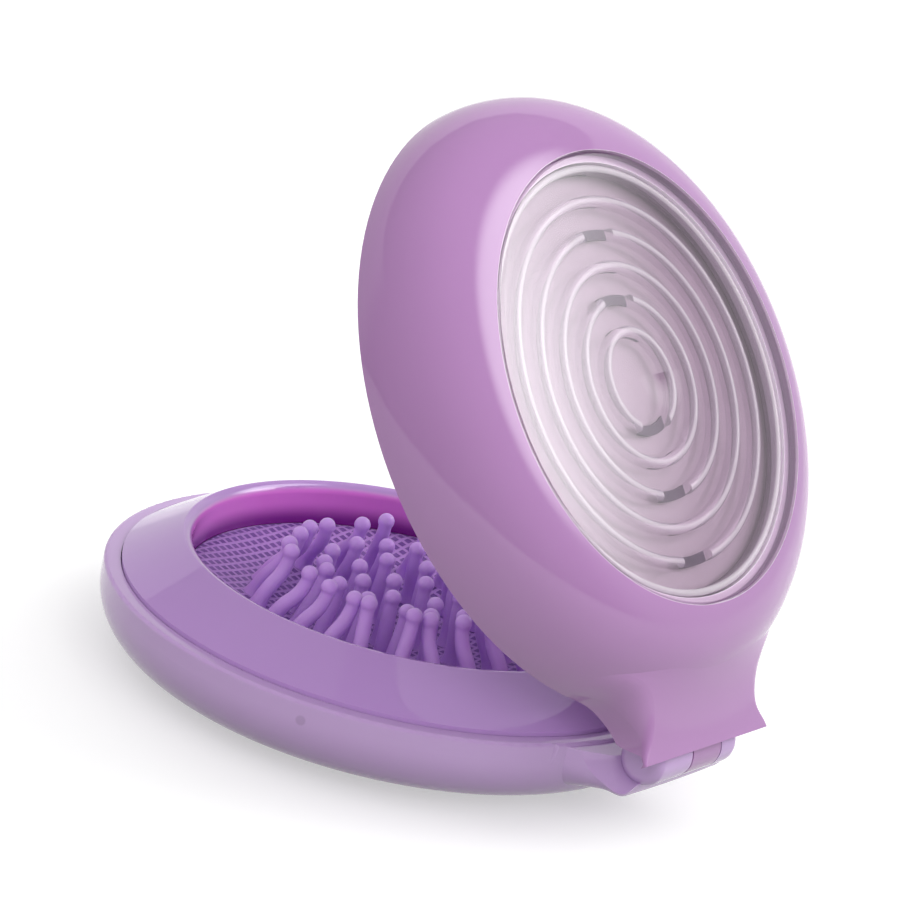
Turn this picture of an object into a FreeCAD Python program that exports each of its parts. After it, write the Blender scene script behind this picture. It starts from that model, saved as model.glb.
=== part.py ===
import FreeCAD, Part
import math
import operator
import os
import Sketcher

# Pop-up styling brush: a round case with a hinged lid, and a soft bristle pad that a thumb button
# under the base turns inside out.
# Millimetres. Z is up, the foot stands on z = 0, the case's axis is the Z axis and the hinge is
# towards -Y, along X. The lid's pieces are drawn closed and then swung open about the hinge.

DRIVING = {
    # round case
    "rim_wall": 2.3,
    "rim_drop": 0.6,
    "rim_round": 0.5,
    "seat_height": 13.0,
    "foot_inset": 18.5,
    "side_round": 8.0,
    "belly_round": 39.0,
    "case_wall": 2.0,
    "foot_width": 8.8,
    "collar_wall": 1.6,
    "collar_height": 3.4,
    "ledge_drop": 2.6,
    "ledge_width": 1.9,
    "ledge_thickness": 0.9,
    "ledge_foot": 2.0,
    "fit_gap": 0.1,
    # bezel round the bristle well
    "bezel_width": 9.1,
    "lip_rise": 6.16,
    "lip_round": 1.5,
    "bezel_wall": 1.6,
    # soft pad and its clamp ring
    "pad_edge_drop": 1.0,
    "pad_flange": 1.5,
    "pad_slope_angle": 14.0,
    "pad_hub_radius": 9.4,
    "pad_thickness": 1.2,
    "clamp_thickness": 1.2,
    # thumb button
    "button_gap": 0.3,
    "button_recess": 0.6,
    "button_dish": 0.7,
    "button_rim": 1.4,
    "button_plate": 1.8,
    "button_hub_inset": 1.8,
    "seat_gap": 0.05,
    # bristles, in rings from the hub to the pad's edge
    "stem_radius": 1.05,
    "ball_radius": 1.18,
    "sector_turn_angle": 21.3,
    "outer_ring_margin": 8.5,
    "outer_length": 9.43,
    "outer_sway_angle": 45.0,
    "outer_pitch_angle": 15.0,
    "outer_ring_gap": 6.1,
    "middle_length": 8.92,
    "middle_sway_angle": 28.0,
    "middle_pitch_angle": 22.5,
    "middle_ring_gap": 5.5,
    "inner_ring_inset": 1.2,
    "inner_length": 9.46,
    "inner_sway_angle": 9.7,
    "centre_ring_radius": 2.6,
    "centre_length": 9.42,
    "centre_sway_angle": 3.0,
    "centre_turn_angle": 146.6,
    # hinge
    "hinge_overhang": 5.58,
    "hinge_drop": 0.48,
    "barrel_radius": 3.5,
    "barrel_half_length": 9.5,
    "knuckle_round": 1.4,
    "cup_round": 2.6,
    "lid_knuckle_start": -1.6,
    "lid_knuckle_end": 4.9,
    "knuckle_gap": 0.3,
    "swing_gap": 0.4,
    "pin_radius": 1.0,
    "pin_gap": 0.05,
    "pin_end_wall": 1.3,
    "neck_top_drop": 0.4,
    "neck_side_wall": 2.7,
    "neck_root": 6.5,
    "neck_flare": 3.3,
    "neck_drop": 4.9,
    "neck_lip_angle": 256.0,
    "open_angle": 52.53,
    # lid
    "lid_gap": 0.28,
    "lid_straight": 0.46,
    "dome_round": 13.57,
    "dome_width": 11.19,
    "lid_wall": 1.8,
    "lens_gap": 0.15,
    "lens_edge": 1.4,
    "lens_crown": 1.1,
    "lens_bevel": 0.4,
    "lens_ledge": 1.3,
    "well_wall": 1.6,
    "tail_overhang": 0.9,
    "tail_end_rise": 4.27,
    "tail_end_thickness": 1.05,
    "tail_flare": 1.1,
    "tail_clearance": 2.5,
    "tail_wall": 1.5,
    "tail_saddle_round": 19.85,
    "tail_end_slope_angle": 10.4,
    # maze, mirror and frame in the lid, from the mirror's face upwards
    "mirror_rise": 7.6,
    "mirror_thickness": 1.4,
    "mirror_inset": 1.71,
    "backing_thickness": 0.4,
    "maze_floor": 0.6,
    "maze_wall": 1.4,
    "maze_wall_height": 2.0,
    "maze_margin": 4.4,
    "maze_core_radius": 6.1,
    "maze_gate": 6.6,
    "maze_sill": 0.5,
    "frame_lip": 1.0,
    "frame_drop": 1.1,
    "frame_rise": 1.0,
    "frame_gap": 0.2,
}
SECTORS = 8
OUTER_PER_SECTOR = 3
MIDDLE_PER_SECTOR = 2
INNER_BRISTLES = 8
CENTRE_BRISTLES = 2
MAZE_WALLS = 5
# Arches along the lid's tail, from inside the dome to near the straight end: how far along it, the
# share of the flare into the dome, the share of the height that is upright side, and the shoulder's
# share of the rest.
TAIL_ARCHES = (
    (0.000, 0.99, 0.03, 0.70),
    (0.124, 0.76, 0.04, 0.70),
    (0.214, 0.555, 0.13, 0.74),
    (0.297, 0.363, 0.27, 0.76),
    (0.401, 0.212, 0.37, 0.79),
    (0.546, 0.08, 0.50, 0.82),
    (0.690, 0.0, 0.65, 0.83),
    (0.850, 0.03, 0.78, 0.83),
)
# Arches along the neck under the hinge, from inside the case to the lip below the barrel: how far
# along it, the shares of its flare and of its drop, the share of the height that is upright side,
# and the shoulder's share of the rest.
NECK_ARCHES = (
    (0.00, 1.00, 1.00, 0.30, 0.90),
    (0.18, 0.92, 0.93, 0.28, 0.92),
    (0.37, 0.55, 0.78, 0.30, 0.90),
    (0.55, 0.18, 0.62, 0.40, 0.90),
    (0.735, 0.0, 0.48, 0.50, 0.92),
    (0.88, 0.0, 0.42, 0.55, 0.92),
    (1.00, 0.0, 0.0, 0.50, 0.90),
)

doc = FreeCAD.newDocument("pop_up_brush")
sheet = doc.addObject("Spreadsheet::Sheet", "dims")
for row, (alias, number) in enumerate(DRIVING.items(), start=1):
    sheet.set(f"A{row}", alias)
    sheet.set(f"B{row}", str(number))
    sheet.setAlias(f"B{row}", alias)
doc.recompute()

OPERATORS = {"+": operator.add, "-": operator.sub, "*": operator.mul, "/": operator.truediv}


class Size:
    """A length or an angle: its number now, and the sheet expression that gives it."""

    def __init__(self, number, text):
        self.number = number
        self.text = text

    def __add__(self, other):
        return combine(self, "+", other)

    def __radd__(self, other):
        return combine(other, "+", self)

    def __sub__(self, other):
        return combine(self, "-", other)

    def __rsub__(self, other):
        return combine(other, "-", self)

    def __mul__(self, other):
        return combine(self, "*", other)

    def __rmul__(self, other):
        return combine(other, "*", self)

    def __truediv__(self, other):
        return combine(self, "/", other)

    def __neg__(self):
        return combine(0, "-", self)


def as_size(value):
    if isinstance(value, Size):
        return value
    return Size(float(value), f"({float(value)})")


def combine(left, sign, right):
    left = as_size(left)
    right = as_size(right)
    number = OPERATORS[sign](left.number, right.number)
    return Size(number, f"({left.text} {sign} {right.text})")


def root(value):
    return Size(math.sqrt(value.number), f"sqrt({value.text})")


def sine(degrees):
    return Size(math.sin(math.radians(degrees.number)), f"sin({degrees.text})")


def cosine(degrees):
    return Size(math.cos(math.radians(degrees.number)), f"cos({degrees.text})")


def tangent(degrees):
    return Size(math.tan(math.radians(degrees.number)), f"tan({degrees.text})")


def leg(hypotenuse, other_leg):
    return root(hypotenuse * hypotenuse - other_leg * other_leg)


class Dimensions:
    """The driving dimensions as sizes, by name."""

    def __init__(self):
        for alias in DRIVING:
            setattr(self, alias, Size(float(sheet.get(alias)), f"dims.{alias}"))


d = Dimensions()

# Radii, heights and places that several pieces share.
pad_hub_radius = d.pad_hub_radius
middle_root_radius = pad_hub_radius + d.middle_ring_gap
outer_root_radius = middle_root_radius + d.outer_ring_gap
pad_flat_radius = outer_root_radius + d.outer_ring_margin
lip_radius = pad_flat_radius + d.pad_flange
bezel_radius = lip_radius + d.bezel_width
rim_radius = bezel_radius + d.fit_gap + d.rim_wall
foot_radius = rim_radius - d.foot_inset
thumb_hole_radius = foot_radius - d.foot_width
pad_outer_radius = lip_radius + d.bezel_wall - d.fit_gap
inner_root_radius = pad_hub_radius - d.inner_ring_inset
button_hub_radius = pad_hub_radius - d.button_hub_inset
window_radius = rim_radius - d.dome_width
well_radius = window_radius - d.lens_ledge
mirror_radius = window_radius - d.mirror_inset
hinge_reach = rim_radius + d.hinge_overhang
tail_end_reach = hinge_reach + d.tail_overhang
neck_half_width = d.barrel_half_length + d.neck_side_wall
tail_half_width = d.barrel_half_length + d.tail_clearance + d.tail_wall
seat_z = d.seat_height
rim_z = seat_z - d.rim_drop
hinge_y = -hinge_reach
hinge_z = seat_z - d.hinge_drop
lip_z = seat_z + d.lip_rise
ledge_z = seat_z - d.ledge_drop
pad_edge_z = seat_z - d.pad_edge_drop
pad_hub_z = pad_edge_z - (pad_flat_radius - pad_hub_radius) * tangent(d.pad_slope_angle)
mouth_z = rim_z + d.lid_gap
dome_centre_radius = rim_radius - d.dome_round
dome_centre_z = mouth_z + d.lid_straight
lens_seat_z = dome_centre_z + leg(d.dome_round, window_radius - dome_centre_radius) - d.lens_edge
mirror_z = seat_z + d.mirror_rise
backing_z = mirror_z + d.mirror_thickness
maze_z = backing_z + d.backing_thickness
frame_top_z = mirror_z + d.frame_rise
frame_bottom_z = mirror_z - d.frame_drop
half_lid_knuckle = (d.lid_knuckle_end - d.lid_knuckle_start) / 2


def vector_text(x, y, z):
    return f"create(<<vector>>; {as_size(x).text}; {as_size(y).text}; {as_size(z).text})"


def placement_text(place, axis=(0, 0, 1), degrees=0, centre=(0, 0, 0)):
    turn = f"create(<<rotation>>; {vector_text(*axis)}; {as_size(degrees).text})"
    return f"create(<<placement>>; {vector_text(*place)}; {turn}; {vector_text(*centre)})"


def new_body(label):
    body = doc.addObject("PartDesign::Body", label)
    body.Label = label
    return body


def origin_feature(body, role):
    return next(f for f in body.Origin.OriginFeatures if f.Role == role)


def new_sketch(body, name, plane, offset=None):
    """A sketch on one of the body's origin planes, moved along and turned by an offset expression."""
    sketch = body.newObject("Sketcher::SketchObject", f"{body.Label}_{name}")
    sketch.AttachmentSupport = [(origin_feature(body, plane), "")]
    sketch.MapMode = "FlatFace"
    if offset:
        sketch.setExpression("AttachmentOffset", offset)
    return sketch


def bind(sketch, kind, places, name, value):
    index = sketch.addConstraint(Sketcher.Constraint(kind, *places, value.number))
    sketch.renameConstraint(index, name)
    sketch.setExpression(f"Constraints.{name}", value.text)


def arc_between(start, end, radius, turn):
    """The shorter arc from start to end, turning left (1) or right (-1)."""
    chord = end - start
    middle = (start + end) * 0.5
    height = math.sqrt(max(radius * radius - chord.Length * chord.Length / 4, 0))
    left = FreeCAD.Vector(-chord.y, chord.x, 0).normalize()
    centre = middle + left * (height * turn)
    first, last = (start, end) if turn > 0 else (end, start)
    angles = [math.atan2(p.y - centre.y, p.x - centre.x) for p in (first, last)]
    if angles[1] < angles[0]:
        angles[1] += 2 * math.pi
    circle = Part.Circle(centre, FreeCAD.Vector(0, 0, 1), radius)
    return Part.ArcOfCircle(circle, *angles)


def draw(sketch, corners, closed=True, prefix=""):
    """An outline through corners (x, y) or (x, y, radius, turn); a radius makes the edge after
    that corner an arc."""
    corners = [tuple(as_size(v) for v in c[:3]) + tuple(c[3:]) for c in corners]
    points = [FreeCAD.Vector(c[0].number, c[1].number, 0) for c in corners]
    count = len(corners) if closed else len(corners) - 1
    ends = []
    for i in range(count):
        start, end = points[i], points[(i + 1) % len(points)]
        if len(corners[i]) > 2:
            radius, turn = corners[i][2:]
            edge = sketch.addGeometry(arc_between(start, end, radius.number, turn), False)
            bind(sketch, "Radius", (edge,), f"{prefix}r{i}", radius)
            ends.append((edge, 1, 2) if turn > 0 else (edge, 2, 1))
        else:
            edge = sketch.addGeometry(Part.LineSegment(start, end), False)
            ends.append((edge, 1, 2))
    for i in range(1, len(ends) + (1 if closed else 0)):
        before, after = ends[i - 1], ends[i % len(ends)]
        places = (before[0], before[2], after[0], after[1])
        sketch.addConstraint(Sketcher.Constraint("Coincident", *places))
    for i, corner in enumerate(corners):
        place = (ends[i][0], ends[i][1]) if i < len(ends) else (ends[-1][0], ends[-1][2])
        bind(sketch, "DistanceX", (-1, 1, *place), f"{prefix}x{i}", corner[0])
        bind(sketch, "DistanceY", (-1, 1, *place), f"{prefix}y{i}", corner[1])


def draw_circle(sketch, x, y, radius):
    x, y, radius = as_size(x), as_size(y), as_size(radius)
    circle = Part.Circle(FreeCAD.Vector(x.number, y.number, 0), FreeCAD.Vector(0, 0, 1), radius.number)
    edge = sketch.addGeometry(circle, False)
    bind(sketch, "Radius", (edge,), "radius", radius)
    bind(sketch, "DistanceX", (-1, 1, edge, 3), "x", x)
    bind(sketch, "DistanceY", (-1, 1, edge, 3), "y", y)


def feature(body, kind, name, sketch):
    made = body.newObject(f"PartDesign::{kind}", f"{body.Label}_{name}")
    made.Profile = sketch
    return made


def turned(body, name, corners, kind="Revolution"):
    """A full turn about Z of an outline given as (radius, height)."""
    sketch = new_sketch(body, f"{name}_outline", "XZ_Plane")
    draw(sketch, corners)
    made = feature(body, kind, name, sketch)
    made.ReferenceAxis = (sketch, ["V_Axis"])
    made.Angle = 360
    return made


def along_x(body, name, start, length, kind, corners=None, circle=None):
    """A prism along X from start, of an outline given as (y, z), or of a circle (y, z, radius)."""
    sketch = new_sketch(body, f"{name}_outline", "YZ_Plane", placement_text((0, 0, start)))
    if circle:
        draw_circle(sketch, *circle)
    else:
        draw(sketch, corners)
    made = feature(body, kind, name, sketch)
    made.setExpression("Length", length.text)
    made.Reversed = kind == "Pocket"
    return made


def about_hinge(body, name, corners, kind):
    """A full turn about the hinge's axis of an outline given as (x, radius)."""
    sketch = new_sketch(body, f"{name}_outline", "XZ_Plane", placement_text((0, hinge_z, -hinge_y)))
    draw(sketch, corners)
    made = feature(body, kind, name, sketch)
    made.ReferenceAxis = (sketch, ["H_Axis"])
    made.Angle = 360
    return made


def lofted(body, name, sections):
    """A smooth loft through sections (y, corners), each outline given as (x, z)."""
    sketches = []
    for i, (y, corners) in enumerate(sections):
        sketch = new_sketch(body, f"{name}_{i}", "XZ_Plane", placement_text((0, 0, -y)))
        draw(sketch, corners)
        sketches.append(sketch)
    made = feature(body, "AdditiveLoft", name, sketches[0])
    made.Sections = [(s, [""]) for s in sketches[1:]]
    made.Ruled = False
    return made


def swing_open(piece):
    """Turns a piece of the lid from closed to the stored open pose."""
    text = placement_text((0, 0, 0), (1, 0, 0), d.open_angle, (0, hinge_y, hinge_z))
    piece.setExpression("Placement", text)


def arch(y, half_width, start, base, crown, upright, shoulder):
    """A section across the case's hinge side: sides from start that stay upright for that share of
    the height from base to crown, shoulders that take that share of the rest, and a crown."""
    way = 1 if crown.number > base.number else -1
    rise = (crown - base) * way * (1 - upright)
    round_off = rise * shoulder
    side = crown - rise * way
    flat = half_width - round_off
    crown_round = (flat * flat + rise * rise - round_off * round_off) / (2 * (rise - round_off))
    reach = round_off / (crown_round - round_off)
    meet_x = flat + flat * reach
    meet_z = side + (crown_round - rise) * reach * way
    return (y, [
        (half_width, start),
        (half_width, side, round_off, way),
        (meet_x, meet_z, crown_round, way),
        (-meet_x, meet_z, round_off, way),
        (-half_width, side),
        (-half_width, start),
    ])


def make_neck(body):
    """The base's hinge side: a neck that carries the barrel's outer knuckles and rolls away from
    their round ends in a flared cup."""
    top = rim_z - d.neck_top_drop
    lip_y = hinge_y + d.barrel_radius * cosine(d.neck_lip_angle)
    lip_z = hinge_z + d.barrel_radius * sine(d.neck_lip_angle)
    root_y = d.neck_root - rim_radius
    sections = []
    for along, wide, low, upright, shoulder in NECK_ARCHES:
        y = root_y + (lip_y - root_y) * along
        half_width = neck_half_width + d.neck_flare * wide
        bottom = lip_z - d.neck_drop * low
        sections.append(arch(y, half_width, top, top, bottom, upright, shoulder))
    lofted(body, "neck", sections)
    clear = neck_half_width + d.neck_flare + 1
    slant = sine(as_size(45))
    crease_inset = d.knuckle_round * (1 - slant)
    crease_x = d.barrel_half_length - crease_inset
    crease_radius = d.barrel_radius - crease_inset
    cup_x = crease_x + d.cup_round * slant
    cup_radius = crease_radius + d.cup_round * (1 - slant)
    gap = d.knuckle_gap
    cup = d.barrel_radius + d.swing_gap
    sides = (("left", -1, d.lid_knuckle_start - gap), ("right", 1, d.lid_knuckle_end + gap))
    for side, way, inner_end in sides:
        about_hinge(body, f"{side}_cup", [
            (crease_x * way, 0),
            (crease_x * way, crease_radius, d.cup_round, way),
            (cup_x * way, cup_radius),
            (clear * way, cup_radius + clear - cup_x),
            (clear * way, 0),
        ], "Groove")
        about_hinge(body, f"{side}_knuckle", [
            (d.barrel_half_length * way, 0),
            (d.barrel_half_length * way, d.barrel_radius - d.knuckle_round, d.knuckle_round, way),
            ((d.barrel_half_length - d.knuckle_round) * way, d.barrel_radius),
            (inner_end, d.barrel_radius),
            (inner_end, 0),
        ], "Revolution")
    along_x(body, "lid_knuckle_room", d.lid_knuckle_start - gap, half_lid_knuckle * 2 + gap * 2, "Pocket",
            circle=(hinge_y, hinge_z, cup))
    along_x(body, "pin_hole", d.pin_end_wall - d.barrel_half_length, d.barrel_half_length * 2, "Pocket",
            circle=(hinge_y, hinge_z, d.pin_radius + d.pin_gap))


def make_base_shell():
    body = new_body("base_shell")
    side_radius = rim_radius - d.side_round
    centre_gap = d.belly_round - d.side_round
    side_z = d.belly_round - leg(centre_gap, side_radius - foot_radius)
    share = (side_radius - foot_radius) / centre_gap
    drop = leg(as_size(1), share)
    outer_tangent = (foot_radius + d.belly_round * share, d.belly_round * (1 - drop))
    inner_belly = d.belly_round - d.case_wall
    inner_side = d.side_round - d.case_wall
    inner_tangent = (foot_radius + inner_belly * share, d.belly_round - inner_belly * drop)
    turned(body, "solid", [
        (0, 0),
        (foot_radius, 0, d.belly_round, 1),
        (*outer_tangent, d.side_round, 1),
        (rim_radius, side_z),
        (rim_radius, rim_z - d.rim_round, d.rim_round, 1),
        (rim_radius - d.rim_round, rim_z),
        (0, rim_z),
    ])

    make_neck(body)
    ledge_inner = bezel_radius - d.ledge_width + d.fit_gap
    slope_z = ledge_z - d.ledge_thickness - d.ledge_foot
    slope_radius = side_radius + leg(inner_side, side_z - slope_z)
    collar_radius = thumb_hole_radius + d.collar_wall
    turned(body, "inside", [
        (0, -1),
        (thumb_hole_radius, -1),
        (thumb_hole_radius, d.collar_height),
        (collar_radius, d.collar_height),
        (collar_radius, d.case_wall),
        (foot_radius, d.case_wall, inner_belly, 1),
        (*inner_tangent, inner_side, 1),
        (slope_radius, slope_z),
        (ledge_inner, ledge_z - d.ledge_thickness),
        (ledge_inner, ledge_z),
        (bezel_radius + d.fit_gap, ledge_z),
        (bezel_radius + d.fit_gap, rim_z + 1),
        (0, rim_z + 1),
    ], "Groove")
    return body


def make_bezel_ring():
    body = new_body("bezel_ring")
    inner_radius = lip_radius + d.bezel_wall
    skirt_radius = bezel_radius - d.bezel_wall
    slope = d.lip_rise / (bezel_radius - lip_radius)
    round_drop = d.lip_round * slope
    turned(body, "ring", [
        (skirt_radius, ledge_z),
        (bezel_radius, ledge_z),
        (bezel_radius, seat_z),
        (lip_radius + d.lip_round, lip_z - round_drop, d.lip_round, 1),
        (lip_radius, lip_z - round_drop - d.lip_round),
        (lip_radius, pad_edge_z),
        (inner_radius, pad_edge_z),
        (inner_radius, lip_z - d.bezel_wall * (1 + slope) - round_drop),
        (skirt_radius, seat_z - d.bezel_wall / 2),
    ])
    return body


def make_bristle_pad():
    body = new_body("bristle_pad")
    under = d.pad_thickness
    shift = d.pad_thickness * tangent(d.pad_slope_angle / 2)
    turned(body, "dish", [
        (0, pad_hub_z - under),
        (pad_hub_radius + shift, pad_hub_z - under),
        (pad_flat_radius + shift, pad_edge_z - under),
        (pad_outer_radius, pad_edge_z - under),
        (pad_outer_radius, pad_edge_z),
        (pad_flat_radius, pad_edge_z),
        (pad_hub_radius, pad_hub_z),
        (0, pad_hub_z),
    ])
    return body


def make_pad_clamp_ring():
    body = new_body("pad_clamp_ring")
    top = pad_edge_z - d.pad_thickness
    bottom = top - d.clamp_thickness
    outer = bezel_radius - d.ledge_width
    inner = pad_flat_radius + d.pad_thickness
    bevel = d.clamp_thickness / 2
    turned(body, "ring", [
        (inner + bevel, bottom),
        (outer - bevel, bottom),
        (outer, bottom + bevel),
        (outer, top),
        (inner, top),
        (inner, bottom + bevel),
    ])
    return body


def make_push_button():
    body = new_body("push_button")
    radius = thumb_hole_radius - d.button_gap
    dish_radius = radius - d.button_rim
    dish_round = (dish_radius * dish_radius + d.button_dish * d.button_dish) / (2 * d.button_dish)
    bevel = d.button_rim / 4
    top = d.button_recess + d.button_plate
    hub_z = pad_hub_z - d.pad_thickness - d.seat_gap
    turned(body, "button", [
        (0, d.button_recess + d.button_dish, dish_round, -1),
        (dish_radius, d.button_recess),
        (radius - bevel, d.button_recess),
        (radius, d.button_recess + bevel),
        (radius, top),
        (button_hub_radius + bevel, top),
        (button_hub_radius, top + bevel),
        (button_hub_radius, hub_z),
        (0, hub_z),
    ])
    return body


def make_bristles(label, root_radius, sway, length, pitch, count):
    """Bristles of one ring: stems that leave the pad square to it, sway inwards and end upright in a
    ball."""
    body = new_body(label)
    body.AllowCompound = True
    on_hub = root_radius.number < pad_hub_radius.number
    slope = as_size(0) if on_hub else d.pad_slope_angle
    rise = as_size(0) if on_hub else (root_radius - pad_hub_radius) * tangent(d.pad_slope_angle)
    root_x = root_radius - d.seat_gap * sine(slope)
    root_z = pad_hub_z + rise + d.seat_gap * cosine(slope)
    degrees_in_radian = 180 / math.pi
    lower_bend = length / 2 / (sway - slope) * degrees_in_radian
    upper_bend = length / 2 / sway * degrees_in_radian
    middle_x = root_x - lower_bend * (cosine(slope) - cosine(sway))
    middle_z = root_z + lower_bend * (sine(sway) - sine(slope))
    tip_x = middle_x - upper_bend * (1 - cosine(sway))
    tip_z = middle_z + upper_bend * sine(sway)
    path = new_sketch(body, "path", "XZ_Plane")
    draw(path, [
        (root_x, root_z, lower_bend, 1),
        (middle_x, middle_z, upper_bend, -1),
        (tip_x, tip_z),
    ], closed=False)
    offset = placement_text((root_x, 0, root_z), (0, 1, 0), -slope)
    section = new_sketch(body, "section", "XY_Plane", offset)
    draw_circle(section, 0, 0, d.stem_radius)
    stem = feature(body, "AdditivePipe", "stem", section)
    stem.Spine = (path, ["Edge1", "Edge2"])
    ball = body.newObject("PartDesign::AdditiveSphere", f"{label}_ball")
    ball.setExpression("Radius", d.ball_radius.text)
    ball.setExpression("Placement", placement_text((tip_x, 0, tip_z)))
    doc.recompute()
    ring = body.newObject("PartDesign::PolarPattern", f"{label}_pattern")
    ring.Originals = [stem, ball]
    ring.Axis = (origin_feature(body, "Z_Axis"), [""])
    ring.Mode = "Spacing"
    ring.setExpression("Offset", pitch.text)
    ring.Occurrences = count
    body.Tip = ring
    return body


def turned_copy(group, label, turn):
    """The group of bristles, turned about the case's axis."""
    copy = doc.addObject("Part::Compound", label)
    copy.Label = label
    copy.Links = [group]
    copy.setExpression("Placement", placement_text((0, 0, 0), (0, 0, 1), turn))
    return copy


def sector_copies(group, label, pitch, count):
    """The same group of bristles in each sector of the pad, centred on the sector."""
    first = d.sector_turn_angle - pitch * (count - 1) / 2
    return [turned_copy(group, f"{label}_{k + 1}", first + 360 / SECTORS * k) for k in range(SECTORS)]


def make_hinge_pin():
    pin = doc.addObject("Part::Cylinder", "hinge_pin")
    pin.Label = "hinge_pin"
    start = d.pin_end_wall + d.pin_gap - d.barrel_half_length
    pin.setExpression("Radius", d.pin_radius.text)
    pin.setExpression("Height", (d.barrel_half_length - d.pin_gap - start).text)
    pin.setExpression("Placement", placement_text((start, hinge_y, hinge_z), (0, 1, 0), 90))
    return pin


def dome_z(y):
    """The height of the lid's outside at a point of its middle line."""
    return dome_centre_z + leg(d.dome_round, dome_centre_radius + y)


def make_tail(body, end_z):
    """The lid's hinge side: a saddle that runs out of the dome, narrows to a neck and flares to a
    straight end."""
    end_y = -tail_end_reach
    root_y = d.side_round - rim_radius
    root_half_width = leg(rim_radius, root_y)
    saddle_y = end_y - d.tail_saddle_round * sine(d.tail_end_slope_angle)
    saddle_z = end_z + d.tail_saddle_round * cosine(d.tail_end_slope_angle)
    under = end_z - d.tail_end_thickness
    below = mouth_z - d.lid_gap
    sections = []
    for along, wide, upright, shoulder in TAIL_ARCHES:
        y = root_y + (end_y - root_y) * along
        saddle = saddle_z - leg(d.tail_saddle_round, y - saddle_y)
        crown = saddle if along > 0.3 else dome_z(y) - d.fit_gap / 2
        half_width = tail_half_width + (root_half_width - tail_half_width) * wide
        bottom = below if along < 0.75 else under - (under - mouth_z) * 0.25
        sections.append(arch(y, half_width, bottom, mouth_z, crown, upright, shoulder))
    sections.append(arch(end_y, tail_half_width + d.tail_flare, under, mouth_z, end_z, 0.93, 0.7))
    lofted(body, "tail", sections)
    trim = new_sketch(body, "mouth_trim", "XY_Plane", placement_text((0, 0, mouth_z)))
    draw_circle(trim, 0, 0, tail_end_reach * 1.2)
    cut = feature(body, "Pocket", "mouth_cut", trim)
    cut.setExpression("Length", seat_z.text)


def make_lid_shell():
    body = new_body("lid_shell")
    top_z = lens_seat_z + d.lens_edge
    turned(body, "solid", [
        (0, mouth_z),
        (dome_centre_radius + leg(d.dome_round, d.lid_straight), mouth_z, d.dome_round, 1),
        (window_radius, top_z),
        (0, top_z),
    ])

    end_y = -tail_end_reach
    end_z = seat_z + d.tail_end_rise
    make_tail(body, end_z)
    inner_dome = d.dome_round - d.lid_wall
    skirt_radius = well_radius + d.well_wall
    turned(body, "inside", [
        (0, mouth_z - 1),
        (rim_radius - d.lid_wall, mouth_z - 1),
        (rim_radius - d.lid_wall, dome_centre_z, inner_dome, 1),
        (skirt_radius, dome_centre_z + leg(inner_dome, skirt_radius - dome_centre_radius)),
        (skirt_radius, frame_top_z),
        (well_radius, frame_top_z),
        (well_radius, lens_seat_z),
        (window_radius, lens_seat_z),
        (window_radius, top_z + 1),
        (0, top_z + 1),
    ], "Groove")
    room_half_width = tail_half_width - d.tail_wall
    room_top = end_z - d.tail_end_thickness
    along_x(body, "hinge_room", -room_half_width, room_half_width * 2, "Pocket", corners=[
        (-rim_radius - d.tail_wall, mouth_z - 1),
        (-rim_radius - d.tail_wall, room_top),
        (end_y - 1, room_top),
        (end_y - 1, mouth_z - 1),
    ])
    along_x(body, "knuckle", d.lid_knuckle_start, half_lid_knuckle * 2, "Pad",
            circle=(hinge_y, hinge_z, d.barrel_radius))
    along_x(body, "knuckle_web", d.lid_knuckle_start, half_lid_knuckle * 2, "Pad", corners=[
        (end_y, hinge_z),
        (hinge_y + d.barrel_radius, hinge_z),
        (hinge_y + d.barrel_radius, room_top + d.tail_end_thickness / 2),
        (end_y, room_top + d.tail_end_thickness / 2),
    ])
    along_x(body, "pin_hole", d.lid_knuckle_start - 1, half_lid_knuckle * 2 + 2, "Pocket",
            circle=(hinge_y, hinge_z, d.pin_radius + d.pin_gap))
    swing_open(body)
    return body


def make_window_lens():
    body = new_body("window_lens")
    radius = window_radius - d.lens_gap
    crown_radius = radius - d.lens_bevel
    rise = d.lens_crown
    crown_round = (crown_radius * crown_radius + rise * rise) / (2 * rise)
    top_z = lens_seat_z + d.lens_edge
    turned(body, "lens", [
        (0, lens_seat_z + rise, crown_round, -1),
        (crown_radius, lens_seat_z),
        (radius, lens_seat_z),
        (radius, top_z - d.lens_bevel),
        (crown_radius, top_z, crown_round, 1),
        (0, top_z + rise),
    ])
    swing_open(body)
    return body


def make_maze_plate():
    body = new_body("maze_plate")
    floor_z = maze_z + d.maze_floor
    wall_z = floor_z + d.maze_wall_height
    shoulder_z = wall_z - d.maze_wall / 2
    top_round = d.maze_wall * 0.55
    core_radius = d.maze_core_radius
    pitch = (well_radius - d.maze_margin - d.maze_wall - core_radius) / (MAZE_WALLS - 1)
    corners = [(0, maze_z), (well_radius - d.lens_gap, maze_z), (well_radius - d.lens_gap, floor_z)]
    for wall in reversed(range(MAZE_WALLS)):
        inner = core_radius + pitch * wall
        outer = inner + d.maze_wall
        corners += [
            (outer, floor_z),
            (outer, shoulder_z, top_round, 1),
            (inner, shoulder_z),
            (inner, floor_z),
        ]
    turned(body, "walls", corners + [(0, floor_z)])
    for wall in range(MAZE_WALLS):
        side = -1 if wall % 2 == 0 else 1
        middle = (core_radius + pitch * wall) * side
        depth = d.maze_wall * 2
        half_gate = d.maze_gate / 2
        sill_z = floor_z + d.maze_sill
        sketch = new_sketch(body, f"gate_{wall}", "XY_Plane", placement_text((0, 0, sill_z)))
        draw(sketch, [
            (-half_gate, middle - depth),
            (half_gate, middle - depth),
            (half_gate, middle + depth),
            (-half_gate, middle + depth),
        ])
        gate = feature(body, "Pocket", f"gate_cut_{wall}", sketch)
        gate.Reversed = True
        gate.setExpression("Length", (d.maze_wall_height + 1).text)
    swing_open(body)
    return body


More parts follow.
